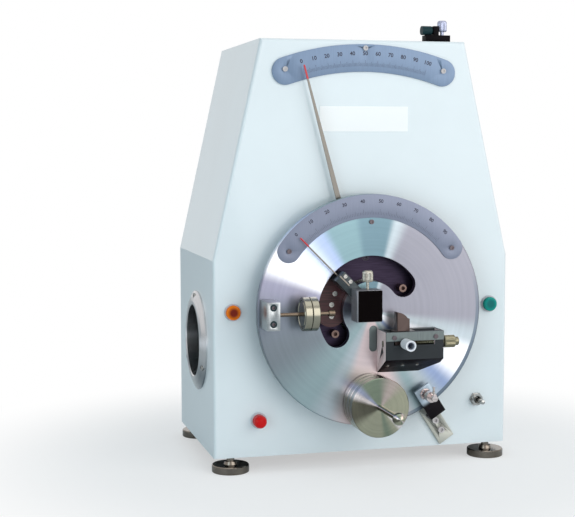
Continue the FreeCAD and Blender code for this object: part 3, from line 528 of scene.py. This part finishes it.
# which CAD nodes take which finish
dressed = {
    "cabinetPaint": ["casing", "rear_cover"],
    "floorSteel": ["base_plate", "motor_bracket"],
    "footNickel": ["foot_front_left", "foot_front_right", "foot_rear_left", "foot_rear_right"],
    "gripGrey": ["grip_rings"],
    "screwSteel": ["case_screws", "vise_arm_screws"],
    "discScrew": ["disc_screws"],
    "panelScrew": ["panel_screws"],
    "stopBronze": ["arm_stop_screws"],
    "loadSilver": ["load_scale_plate"],
    "angleSilver": ["angle_scale_plate"],
    "guideGreen": ["guide_strip"],
    "housingDark": ["bearing_housing"],
    "runningSteel": ["sleeve_bearings", "shaft_bearings", "vise_sleeve", "pendulum_shaft",
                     "shaft_nuts", "drive_gear", "motor_pinion"],
    "arrestNickel": ["arrest_bracket"],
    "arrestBright": ["arrest_screw"],
    "switchChrome": ["toggle_switch", "toggle_lever"],
    "bezelBlack": ["terminal_block", "power_inlet"],
    "bezelPale": ["panel_bezels"],
    "buttonOrange": ["orange_button"],
    "buttonGreen": ["green_button"],
    "lampRed": ["red_lamp"],
    "roofBlack": ["top_fitting"],
    "vialGreen": ["level_vial"],
    "knurledChrome": ["vise_thumb_screw"],
    "roofSilver": ["top_thumb_screw"],
    "feedBrass": ["feed_screw"],
    "clampBright": ["clamp_screw"],
    "armBrown": ["vise_arm"],
    "postSteel": ["vise_post"],
    "blockSteel": ["vise_block", "vise_jaw"],
    "pointerSteel": ["load_pointer"],
    "shortPointer": ["vise_pointer"],
    "discAluminium": ["pendulum_disc"],
    "blockAluminium": ["rod_bracket", "pointer_block"],
    "cradleSteel": ["plate_bracket"],
    "wheelSteel": ["balance_wheel_outer", "balance_wheel_inner"],
    "rodBronze": ["balance_rod"],
    "sliderBrown": ["plate_slider"],
    "weightNickel": ["weight_inner", "weight_middle", "weight_outer", "weight_stud"],
    "motorBlack": ["gear_motor"],
}
for finishName, wearers in dressed.items():
    for wearer in wearers:
        piece = nodes[wearer]
        piece.data.materials.clear()
        piece.data.materials.append(finishes[finishName])
print("finishes on the CAD nodes")


# weld joins points that are this close, and only edges steeper than the angle are broken
softening = {"weld": 0.002 * mm, "segments": 2, "angle": 50}


def softenEdges(piece, width):
    weld = piece.modifiers.new("weld", "WELD")
    weld.merge_threshold = softening["weld"]
    bevel = piece.modifiers.new("bevel", "BEVEL")
    bevel.width = width
    bevel.segments = softening["segments"]
    bevel.limit_method = "ANGLE"
    bevel.angle_limit = math.radians(softening["angle"])
    bevel.use_clamp_overlap = True
    bevel.harden_normals = False


# how far the edges of folded and milled CAD nodes are broken, in mm
edgeBreaks = {
    "rod_bracket": 0.5, "plate_bracket": 0.4, "vise_block": 0.3, "vise_jaw": 0.2,
    "arrest_bracket": 0.4, "vise_post": 0.4, "plate_slider": 0.3, "top_fitting": 0.4,
    "load_scale_plate": 0.2, "angle_scale_plate": 0.15,
}
for name, width in edgeBreaks.items():
    softenEdges(nodes[name], width * mm)

# edges steeper than this many degrees stay sharp, on flat plates, on CAD nodes and on turned pieces
sharpEdges = {"plate": 30, "node": 32, "turned": 40}


def finishMesh(name, verts, faces, body, material, sharp):
    mesh = bpy.data.meshes.new(name)
    mesh.from_pydata(verts, [], faces)
    mesh.update()
    piece = bpy.data.objects.new(name, mesh)
    bpy.context.scene.collection.objects.link(piece)
    mesh.materials.append(material)
    mesh.shade_smooth()
    mesh.set_sharp_from_angle(angle=math.radians(sharpEdges[sharp]))
    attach(piece, body)
    return piece


# turns rows of (radius, along) round an axis, with a knurl cut into the rows inside its range
def lathe(profile, segments, toPlace, knurl=None):
    verts = []
    for radius, along in profile:
        for step in range(segments):
            angle = 2 * math.pi * step / segments
            reach = radius
            if knurl and knurl["start"] <= along <= knurl["stop"]:
                reach -= knurl["depth"] * (0.5 + 0.5 * math.cos(knurl["count"] * angle))
            verts.append(toPlace(reach * math.cos(angle), reach * math.sin(angle), along))
    faces = []
    for ring in range(len(profile) - 1):
        for step in range(segments):
            after = (step + 1) % segments
            low, high = ring * segments, (ring + 1) * segments
            faces.append((low + step, low + after, high + after, high + step))
    faces.append(tuple(reversed(range(segments))))
    faces.append(tuple(range((len(profile) - 1) * segments, len(profile) * segments)))
    return verts, faces


# all the knurled screws: the point that closes an end, steps for each tooth, rows in the knurled
# band, and how far past the band the knurl's range goes
knurling = {"point": 0.1 * mm, "steps": 4, "rows": 6, "margin": 0.1 * mm}


# a knurled screw stands for its plain CAD node
def knurledKnob(name, node, finish, knob, before, band, after, axis, origin):
    spin = {
        "x": lambda a, b, c: origin + Vector((c, a, b)),
        "z": lambda a, b, c: origin + Vector((a, b, c)),
    }[axis]
    start, stop = band
    grip = [(knob["head"], start + (stop - start) * step / knurling["rows"])
            for step in range(knurling["rows"] + 1)]
    knurl = {"start": start - knurling["margin"], "stop": stop + knurling["margin"],
             "count": knob["count"], "depth": knob["depth"]}
    verts, faces = lathe(before + grip + after, knob["count"] * knurling["steps"], spin, knurl)
    piece = finishMesh(name, verts, faces, node, finishes[finish], "turned")
    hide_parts(node)


# an upright thumb screw: foot and crown give how far each row stands in from the head's radius and
# up from its start or down from its end, and band where the knurl begins and ends
def thumbScrew(name, node, finish, low, high, knob):
    length = high.z - low.z
    start = length - knob["tall"]
    head = knob["head"]
    before = [(knurling["point"], 0), (knob["stem"], 0), (knob["stem"], start)]
    before += [(head - inset, start + rise) for inset, rise in knob["foot"]]
    after = [(head - inset, length - drop) for inset, drop in knob["crown"]]
    after.append((knurling["point"], length))
    band = start + knob["band"][0], length - knob["band"][1]
    origin = Vector(((low.x + high.x) / 2, (low.y + high.y) / 2, low.z))
    knurledKnob(name, node, finish, knob, before, band, after, "z", origin)


lowVise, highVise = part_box("vise_thumb_screw")
viseKnob = {
    "stem": 1.5 * mm, "head": 5.4 * mm, "tall": 11.5 * mm, "count": 26, "depth": 0.35 * mm,
    "foot": [(1.2 * mm, 0), (0.3 * mm, 0.6 * mm)], "band": (1 * mm, 1.6 * mm),
    "crown": [(0.4 * mm, 1 * mm), (1.4 * mm, 0)],
}
thumbScrew("viseThumbScrew", "vise_thumb_screw", "knurledChrome", lowVise, highVise, viseKnob)

lowRoof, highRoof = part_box("top_thumb_screw")
roofKnob = {
    "stem": 2 * mm, "head": 5 * mm, "tall": 11.5 * mm, "count": 22, "depth": 0.3 * mm,
    "foot": [(0.8 * mm, 0)], "band": (0.8 * mm, 1.8 * mm),
    "crown": [(0.5 * mm, 0.8 * mm), (1.5 * mm, 0)],
}
thumbScrew("roofThumbScrew", "top_thumb_screw", "roofSilver", lowRoof, highRoof, roofKnob)

# the feed screw has a thread and lies along x
lowFeed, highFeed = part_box("feed_screw")
feedKnob = {
    "stem": 3 * mm, "head": 6.4 * mm, "wide": 12 * mm, "end": 4.5 * mm, "endWide": 4 * mm,
    "count": 28, "depth": 0.35 * mm, "chamfer": 0.6 * mm, "endChamfer": 0.5 * mm,
    "pitch": 2 * mm, "threadDepth": 0.6 * mm, "threadStart": 2 * mm, "plainRun": 4 * mm,
}
feedLength = highFeed.x - lowFeed.x
knobStart = feedLength - feedKnob["wide"] - feedKnob["endWide"]
knobStop = feedLength - feedKnob["endWide"]
threadRows = []
for turnCount in range(int((knobStart - feedKnob["plainRun"]) / feedKnob["pitch"])):
    crest = feedKnob["threadStart"] + turnCount * feedKnob["pitch"]
    root = feedKnob["threadStart"] + (turnCount + 0.5) * feedKnob["pitch"]
    threadRows += [(feedKnob["stem"], crest), (feedKnob["stem"] - feedKnob["threadDepth"], root)]
knurledKnob(
    "feedScrew", "feed_screw", "feedBrass", feedKnob,
    [(knurling["point"], 0), (feedKnob["stem"] - feedKnob["endChamfer"], 0)] + threadRows
    + [(feedKnob["stem"], knobStart), (feedKnob["head"] - feedKnob["chamfer"], knobStart)],
    (knobStart + feedKnob["chamfer"], knobStop - feedKnob["chamfer"]),
    [(feedKnob["head"] - feedKnob["chamfer"], knobStop), (feedKnob["end"], knobStop + 0.4 * mm),
     (feedKnob["end"], feedLength - feedKnob["endChamfer"]),
     (feedKnob["end"] - feedKnob["endChamfer"], feedLength), (knurling["point"], feedLength)],
    "x", Vector((lowFeed.x, (lowFeed.y + highFeed.y) / 2, (lowFeed.z + highFeed.z) / 2)),
)
print("knurled screws made")


# printed scales: raised ink ticks and figures, at angles clockwise from the top of the hub
def tickBox(verts, faces, inner, outer, angle, wide, back, front):
    turn = math.radians(angle)
    along = Vector((math.sin(turn), 0, math.cos(turn)))
    side = Vector((math.cos(turn), 0, -math.sin(turn))) * wide / 2
    base = len(verts)
    for y in (back, front):
        for reach, sign in ((inner, -1), (inner, 1), (outer, 1), (outer, -1)):
            verts.append(Vector((0, y, hub.z)) + along * reach + side * sign)
    quads = ((0, 1, 2, 3), (7, 6, 5, 4), (0, 4, 5, 1), (1, 5, 6, 2), (2, 6, 7, 3), (3, 7, 4, 0))
    faces.extend(tuple(base + corner for corner in quad) for quad in quads)


# boldness swells a figure's outline by a share of its size
figureLook = {"boldness": 0.025, "curveSteps": 3}


def figureMesh(verts, faces, text, size, radius, angle, back, thick):
    curve = bpy.data.curves.new("figure", "FONT")
    curve.body = text
    curve.size = size
    curve.align_x = "CENTER"
    curve.align_y = "CENTER"
    curve.extrude = thick / 2
    curve.offset = size * figureLook["boldness"]
    curve.resolution_u = figureLook["curveSteps"]
    holder = bpy.data.objects.new("figure", curve)
    bpy.context.scene.collection.objects.link(holder)
    bpy.context.view_layer.update()
    evaluated = holder.evaluated_get(bpy.context.evaluated_depsgraph_get())
    shape = bpy.data.meshes.new_from_object(evaluated)
    turn = math.radians(angle)
    middle = Vector((radius * math.sin(turn), back - thick / 2, hub.z + radius * math.cos(turn)))
    rotation = Euler((math.pi / 2, turn, 0), "XYZ").to_matrix()
    base = len(verts)
    verts.extend(middle + rotation @ vertex.co for vertex in shape.vertices)
    faces.extend(tuple(base + corner for corner in face.vertices) for face in shape.polygons)
    bpy.data.objects.remove(holder)
    bpy.data.curves.remove(curve)
    bpy.data.meshes.remove(shape)


def printedScale(name, body, plan):
    verts, faces = [], []
    back, front = plan["face"], plan["face"] - plan["ink"]
    count = round((plan["last"] - plan["first"]) / plan["step"])
    for number in range(count + 1):
        angle = plan["first"] + number * plan["step"]
        kind = 0 if number % plan["tens"] == 0 else 1 if number % plan["fives"] == 0 else 2
        outer = plan["inner"] + plan["lengths"][kind]
        tickBox(verts, faces, plan["inner"], outer, angle, plan["wide"], back, front)
        if kind == 0:
            text = str(number // plan["tens"] * 10)
            figureMesh(verts, faces, text, plan["size"], plan["figures"], angle, back, plan["ink"])
    return finishMesh(name, verts, faces, body, finishes["printInk"], "plate")


loadScale = {
    "face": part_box("load_scale_plate")[0].y, "ink": 0.06 * mm, "first": -15, "last": 15,
    "step": 0.3, "tens": 10, "fives": 5, "inner": 0.2495, "lengths": (0.0062, 0.0048, 0.0034),
    "wide": 0.00022, "figures": 0.2625, "size": 0.0056,
}
angleScale = {
    "face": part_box("angle_scale_plate")[0].y, "ink": 0.06 * mm, "first": -45, "last": 45,
    "step": 1, "tens": 10, "fives": 5, "inner": 0.0985, "lengths": (0.0058, 0.0046, 0.003),
    "wide": 0.00016, "figures": 0.1125, "size": 0.005,
}
printedScale("loadScalePrint", "base", loadScale)
printedScale("angleScalePrint", "pendulum", angleScale)


def roundedPlate(name, body, material, plate):
    cornerSteps = 4
    outline = []
    for cornerX, cornerZ, start in ((1, 1, 0), (-1, 1, 90), (-1, -1, 180), (1, -1, 270)):
        middleX = plate["x"] + cornerX * (plate["wide"] / 2 - plate["corner"])
        middleZ = plate["z"] + cornerZ * (plate["tall"] / 2 - plate["corner"])
        for step in range(cornerSteps + 1):
            angle = math.radians(start + step * 90 / cornerSteps)
            outline.append((middleX + plate["corner"] * math.cos(angle),
                            middleZ + plate["corner"] * math.sin(angle)))
    count = len(outline)
    depths = (plate["back"], plate["back"] - plate["thick"])
    verts = [Vector((x, y, z)) for y in depths for x, z in outline]
    faces = [tuple(range(count)), tuple(reversed(range(count, 2 * count)))]
    for step in range(count):
        after = (step + 1) % count
        faces.append((step, step + count, after + count, after))
    return finishMesh(name, verts, faces, body, material, "plate")


bareLabel = {
    "x": -0.4 * mm, "z": sill + 0.3465, "wide": 95.2 * mm, "tall": 25.6 * mm, "corner": 0.8 * mm,
    "back": panelY, "thick": 0.4 * mm,
}
roundedPlate("bareLabel", "base", finishes["plateWhite"], bareLabel)
print("scales printed and label placed")

# black face plate over the vise block's open front
blockLow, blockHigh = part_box("vise_block")
inset = 0.4 * mm
facePlate = {
    "x": (blockLow.x + blockHigh.x) / 2 + inset * 2, "z": (blockLow.z + blockHigh.z) / 2,
    "wide": blockHigh.x - blockLow.x - 3 * inset, "tall": blockHigh.z - blockLow.z - 2 * inset,
    "corner": 0.8 * mm, "back": blockLow.y, "thick": 0.9 * mm,
}
roundedPlate("viseFacePlate", "vise", finishes["viseBlack"], facePlate)

# full-width guide strip for the plain one, and the strip that lies in the disc's groove
cradleLow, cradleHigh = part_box("plate_bracket")
stripLow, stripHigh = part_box("guide_strip")
guideStrip = roundedPlate("guideStrip", "pendulum", finishes["guideGreen"], {
    "x": (cradleLow.x + cradleHigh.x) / 2, "z": (stripLow.z + cradleHigh.z) / 2,
    "wide": cradleHigh.x - cradleLow.x - 0.6 * mm, "tall": cradleHigh.z - stripLow.z - 0.4 * mm,
    "corner": 0.5 * mm, "back": stripHigh.y, "thick": stripHigh.y - stripLow.y,
})
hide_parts("guide_strip")
grooveStrip = {
    "x": 2.5 * mm, "z": hub.z - 28.5 * mm, "wide": 8.4 * mm, "tall": 28 * mm, "corner": 4 * mm,
    "back": discLow.y + 1.5 * mm, "thick": 0.7 * mm,
}
roundedPlate("grooveStrip", "pendulum", finishes["grooveSteel"], grooveStrip)


# turns a closed loop of (radius, along) round an axis that runs along y
def hollowLathe(name, body, material, loop, segments, origin):
    verts = []
    for radius, along in loop:
        for step in range(segments):
            angle = 2 * math.pi * step / segments
            spot = Vector((radius * math.sin(angle), along, radius * math.cos(angle)))
            verts.append(origin + spot)
    faces = []
    for ring in range(len(loop)):
        here, there = ring * segments, (ring + 1) % len(loop) * segments
        for step in range(segments):
            after = (step + 1) % segments
            faces.append((here + step, here + after, there + after, there + step))
    return finishMesh(name, verts, faces, body, material, "turned")


# the outer weight has a plain turned face
weightFace = {"bore": 3.1 * mm, "edge": 0.8 * mm, "segments": 96}
weightRadius, weightThick = (weightHigh.x - weightLow.x) / 2, weightHigh.y - weightLow.y
outerWeight = hollowLathe(
    "outerWeight", "weight_outer", finishes["weightNickel"],
    [(weightFace["bore"], 0), (weightRadius - weightFace["edge"], 0),
     (weightRadius, weightFace["edge"]), (weightRadius, weightThick - weightFace["edge"]),
     (weightRadius - weightFace["edge"], weightThick), (weightFace["bore"], weightThick)],
    weightFace["segments"], Vector((weightCentre.x, weightLow.y, weightCentre.z)),
)
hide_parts("weight_outer")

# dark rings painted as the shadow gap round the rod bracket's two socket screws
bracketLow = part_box("rod_bracket")[0]
shadowGapRim = {
    "x": 6.5 * mm, "heights": (10.3 * mm, -6 * mm), "outer": 3.5 * mm, "inner": 1.9 * mm,
    "proud": 0.12 * mm, "segments": 32,
}
shadowGapLoop = [
    (shadowGapRim["inner"], 0), (shadowGapRim["inner"], -shadowGapRim["proud"]),
    (shadowGapRim["outer"], -shadowGapRim["proud"]), (shadowGapRim["outer"], 0),
]
for count, height in enumerate(shadowGapRim["heights"]):
    hollowLathe(
        f"shadowGapRim{count}", "pendulum", finishes["shadowGapDark"], shadowGapLoop,
        shadowGapRim["segments"],
        Vector((bracketLow.x + shadowGapRim["x"], bracketLow.y, hub.z + height)),
    )


# small cheese heads: rows give the shares of the head's radius and height, down into its recess
def smallHeads(name, body, spots, normal, radius, tall):
    up = Vector((0, 0, 1)).rotation_difference(normal).to_matrix()
    shares = ((1, 0), (1, 0.75), (0.85, 1), (0.45, 1), (0.45, 0.4))
    rows = [(radius * wide, tall * high) for wide, high in shares]
    segments = 20
    verts, faces = [], []
    for spot in spots:
        base = len(verts)
        made, quads = lathe(rows, segments, lambda a, b, c: spot + up @ Vector((a, b, c)))
        verts.extend(made)
        faces.extend(tuple(base + corner for corner in quad) for quad in quads)
    return finishMesh(name, verts, faces, body, finishes["screwSteel"], "turned")


# three on the cradle's lower slope
slope = {
    "front": -51 * mm, "back": -24 * mm, "top": -48 * mm, "bottom": -64.5 * mm, "share": 0.42,
    "steps": (6, 22, 38), "radius": 1.9 * mm, "tall": 0.8 * mm,
}
slopeRun, slopeDrop = slope["back"] - slope["front"], slope["bottom"] - slope["top"]
slopeY = panelY + slope["front"] + slopeRun * slope["share"]
slopeZ = hub.z + slope["top"] + slopeDrop * slope["share"]
slopeSpots = [Vector((cradleLow.x + step * mm, slopeY, slopeZ)) for step in slope["steps"]]
slopeNormal = Vector((0, slopeDrop, -slopeRun)).normalized()
smallHeads("slopeScrews", "pendulum", slopeSpots, slopeNormal, slope["radius"], slope["tall"])

# two on the vise's bar, and the short pointer's root that lies along it
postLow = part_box("vise_post")[0]
bar = {
    "angle": -45, "reaches": (42, 49.5), "side": 3.6 * mm, "radius": 2.2 * mm, "tall": 1.2 * mm,
    "rootInner": 40 * mm, "rootOuter": 54 * mm, "rootWide": 1.2 * mm, "rootThick": 0.9 * mm,
}
barAngle = math.radians(bar["angle"])
barOut = Vector((math.sin(barAngle), 0, math.cos(barAngle)))
barSide = Vector((math.cos(barAngle), 0, -math.sin(barAngle)))
barSpots = [Vector((0, postLow.y, hub.z)) + barOut * reach * mm + barSide * bar["side"]
            for reach in bar["reaches"]]
smallHeads("barScrews", "vise", barSpots, Vector((0, -1, 0)), bar["radius"], bar["tall"])
rootVerts, rootFaces = [], []
tickBox(rootVerts, rootFaces, bar["rootInner"], bar["rootOuter"], bar["angle"], bar["rootWide"],
        postLow.y, postLow.y - bar["rootThick"])
finishMesh("pointerRoot", rootVerts, rootFaces, "vise", finishes["shortPointer"],
           "plate")
print("face plate, strips, weight and small screws made")

# smooth round CAD nodes where their facets are shallow
for piece in nodes.values():
    piece.data.shade_smooth()
    piece.data.set_sharp_from_angle(angle=math.radians(sharpEdges["node"]))

# the floor is its own pale colour and takes the shadow near the object, and fades to white further
# out where the camera sees it
floorLook = {"size": 6, "colour": (0.93, 0.94, 0.95, 1), "roughness": 0.9}
floorGlow = {"From Min": 0.22, "From Max": 0.5, "To Min": 0.5}
floorCorners = [(x * floorLook["size"], y * floorLook["size"], 0)
                for x, y in ((-1, -1), (1, -1), (1, 1), (-1, 1))]
floorMesh = bpy.data.meshes.new("studioFloor")
floorMesh.from_pydata(floorCorners, [], [(0, 1, 2, 3)])
studioFloor = bpy.data.objects.new("studioFloor", floorMesh)
bpy.context.scene.collection.objects.link(studioFloor)
floorMaterial = bpy.data.materials.new("studioFloor")
floorMaterial.use_nodes = True
floorTree = floorMaterial.node_tree
floorShader = floorTree.nodes["Principled BSDF"]
setSockets(floorShader, {"Base Color": floorLook["colour"], "Roughness": floorLook["roughness"]})
floorPlace = addNode(floorTree, "ShaderNodeTexCoord")
floorReach = addNode(floorTree, "ShaderNodeVectorMath", operation="LENGTH")
floorFade = addNode(floorTree, "ShaderNodeMapRange", floorGlow, interpolation_type="SMOOTHSTEP")
floorPath = addNode(floorTree, "ShaderNodeLightPath")
floorSeen = addNode(floorTree, "ShaderNodeMath", operation="MULTIPLY")
floorWhite = addNode(floorTree, "ShaderNodeEmission")
floorMix = addNode(floorTree, "ShaderNodeMixShader")
connect(
    floorTree,
    (floorPlace, "Object", floorReach, 0),
    (floorReach, "Value", floorFade, "Value"),
    (floorFade, "Result", floorSeen, 0),
    (floorPath, "Is Camera Ray", floorSeen, 1),
    (floorSeen, 0, floorMix, "Fac"),
    (floorShader, "BSDF", floorMix, 1),
    (floorWhite, "Emission", floorMix, 2),
    (floorMix, "Shader", floorTree.nodes["Material Output"], "Surface"),
)
floorMesh.materials.append(floorMaterial)

lampTarget = Vector((0, 0, 0.22))
lamps = {
    "keyLamp": {"place": (1.1, -1.6, 0.75), "size": 2.0, "power": 23.5, "tint": (1, 0.98, 0.955)},
    "fillLamp": {"place": (-1.3, -1.2, 0.35), "size": 0.9, "power": 5.5, "tint": (0.72, 0.92, 1)},
    "topLamp": {"place": (0.1, -0.1, 1.7), "size": 1.4, "power": 4, "tint": (1, 1, 1)},
}
for name, plan in lamps.items():
    light = bpy.data.lights.new(name, "AREA")
    light.size = plan["size"]
    light.energy = plan["power"]
    light.color = plan["tint"]
    lamp = bpy.data.objects.new(name, light)
    lamp.location = plan["place"]
    lamp.rotation_euler = (lampTarget - lamp.location).to_track_quat("-Z", "Y").to_euler()
    bpy.context.scene.collection.objects.link(lamp)

# the world lights the object softly, and the camera, metal and glass see it plain white
worldLook = {
    "tint": (0.80, 0.94, 1, 1), "seenTint": (1, 1, 1, 1), "strength": 0.43, "seenStrength": 1.0,
}
world = bpy.data.worlds.new("studio")
bpy.context.scene.world = world
world.use_nodes = True
worldTree = world.node_tree
background = worldTree.nodes["Background"]
worldPath = addNode(worldTree, "ShaderNodeLightPath")
seen = addNode(worldTree, "ShaderNodeMath", operation="MAXIMUM")
seenAny = addNode(worldTree, "ShaderNodeMath", operation="MAXIMUM")
strength = addNode(worldTree, "ShaderNodeMapRange", {
    "To Min": worldLook["strength"], "To Max": worldLook["seenStrength"],
})
worldTint = addNode(worldTree, "ShaderNodeMix", {
    "A": worldLook["tint"], "B": worldLook["seenTint"],
}, data_type="RGBA")
connect(
    worldTree,
    (worldPath, "Is Camera Ray", seen, 0),
    (worldPath, "Is Glossy Ray", seen, 1),
    (seen, 0, seenAny, 0),
    (worldPath, "Is Transmission Ray", seenAny, 1),
    (seenAny, 0, worldTint, "Factor"),
    (seenAny, 0, strength, "Value"),
    (worldTint, "Result", background, "Color"),
    (strength, "Result", background, "Strength"),
)

# the photograph's view, placed from the cabinet's front sill
photoView = {
    "lens": 81.07, "sensor": 36, "farthest": 50,
    "place": (-0.41713, panelY - 1.27646, sill + 0.31964),
    "turn": (math.pi / 2 - 0.0873, 0.0016, -0.2567),
}
cameraData = bpy.data.cameras.new("photoCamera")
cameraData.lens = photoView["lens"]
cameraData.sensor_width = photoView["sensor"]
cameraData.clip_end = photoView["farthest"]
camera = bpy.data.objects.new("photoCamera", cameraData)
camera.location = photoView["place"]
camera.rotation_euler = photoView["turn"]
bpy.context.scene.collection.objects.link(camera)
bpy.context.scene.camera = camera
bpy.context.scene.view_settings.view_transform = "Standard"
print("stage, lamps and camera set")
